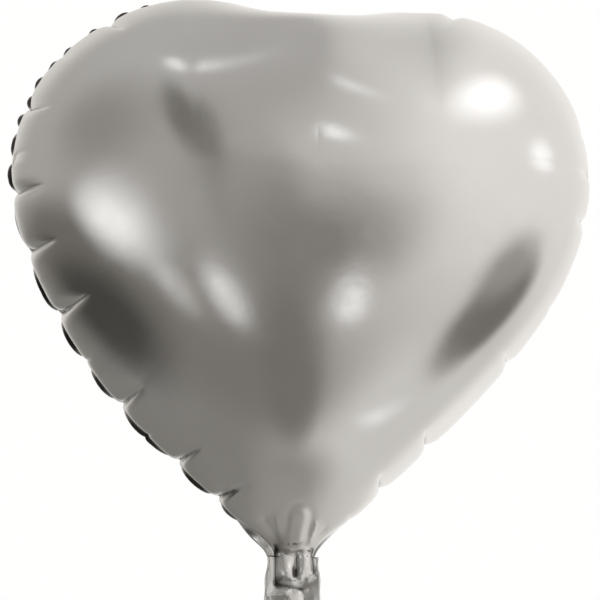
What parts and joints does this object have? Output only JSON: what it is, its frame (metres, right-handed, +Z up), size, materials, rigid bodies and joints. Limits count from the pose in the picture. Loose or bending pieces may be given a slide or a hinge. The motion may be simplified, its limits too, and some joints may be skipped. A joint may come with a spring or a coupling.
{
  "type": "heart foil balloon",
  "caption": "Heart-shaped foil balloon, inflated, with a sealed rim, a self-sealing film valve inside and a folding tail with the inflation inlet.",
  "frame": {"origin": "middle of the pinched neck, where a ribbon is tied", "axes": "+Z up towards the lobes of the heart, front panel faces -Y, +X to the right seen from the front"},
  "size_m": [0.38, 0.189, 0.416],
  "materials": {
    "panel_foil": "polished",
    "rim_foil": "satin",
    "tail_foil": "polished",
    "valve_film": "gloss"
  },
  "bodies": {
    "balloon": {"front_panel": "panel_foil", "back_panel": "panel_foil", "edge_seal": "rim_foil", "neck_seal_front": "rim_foil", "neck_seal_back": "rim_foil"},
    "tail": {"tail_front_film": "tail_foil", "tail_back_film": "tail_foil", "tail_edge_seal": "tail_foil", "tail_valve_front": "valve_film", "tail_valve_back": "valve_film"},
    "valve_front": {"valve_front_film": "valve_film"},
    "valve_back": {"valve_back_film": "valve_film"}
  },
  "joints": [
    {"name": "tail_fold", "type": "hinge", "parent": "balloon", "child": "tail", "pos_m": [0, 0, 0], "axis": [1, 0, 0], "range_deg": [-90, 90]},
    {"name": "valve_front_open", "type": "hinge", "parent": "balloon", "child": "valve_front", "pos_m": [0, -0.00017, 0.0107], "axis": [1, 0, 0], "range_deg": [0, 4], "stiffness_Nm_per_rad": 0.0005},
    {"name": "valve_back_open", "type": "hinge", "parent": "balloon", "child": "valve_back", "pos_m": [0, 0.00017, 0.0107], "axis": [1, 0, 0], "range_deg": [-4, 0], "stiffness_Nm_per_rad": 0.0005}
  ],
  "couplings": [
    {"joint": "valve_back_open", "follows": "valve_front_open", "ratio": -1}
  ]
}
